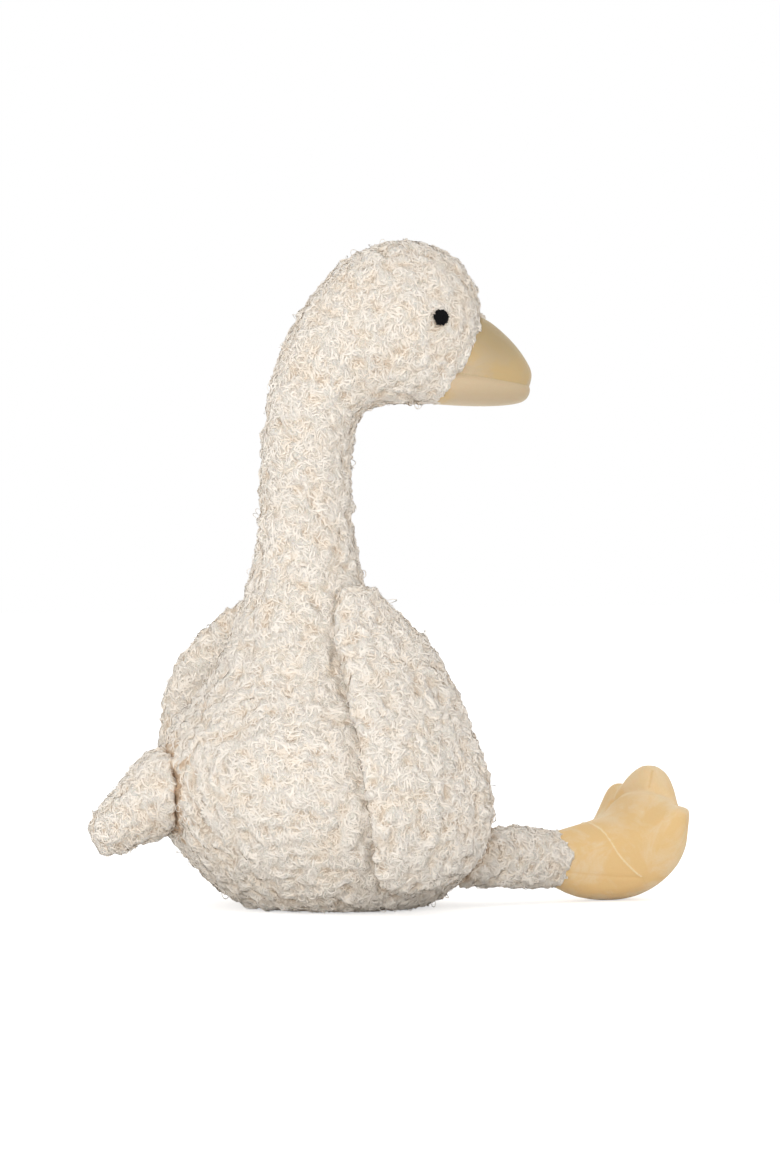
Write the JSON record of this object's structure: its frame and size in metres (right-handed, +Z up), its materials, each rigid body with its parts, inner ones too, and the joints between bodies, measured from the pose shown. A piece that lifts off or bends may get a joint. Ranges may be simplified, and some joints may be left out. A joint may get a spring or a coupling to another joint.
{
  "type": "plush goose",
  "caption": "Seated stuffed goose with a long upright neck, flipper wings at its sides, a blunt tail, a velvet beak and webbed velvet feet that turn up.",
  "frame": {"origin": "on the ground, under the middle of the torso and on its flat seat", "axes": "+Z up; the goose sits facing -Y, so its own right side is -X"},
  "size_m": [0.2682, 0.3031, 0.3332],
  "materials": {
    "curly_pile": "cream boucle pile of small loose curls",
    "yellow_velvet": "pale yellow short-pile velvet",
    "black_stitching": "black satin-stitch embroidery"
  },
  "bodies": {
    "root": {"body": "curly_pile", "right_wing": "curly_pile", "left_wing": "curly_pile", "tail": "curly_pile", "right_leg": "curly_pile", "left_leg": "curly_pile", "right_foot": "yellow_velvet", "left_foot": "yellow_velvet", "upper_beak": "yellow_velvet", "lower_beak": "yellow_velvet", "right_eye": "black_stitching", "left_eye": "black_stitching"}
  },
  "joints": []
}
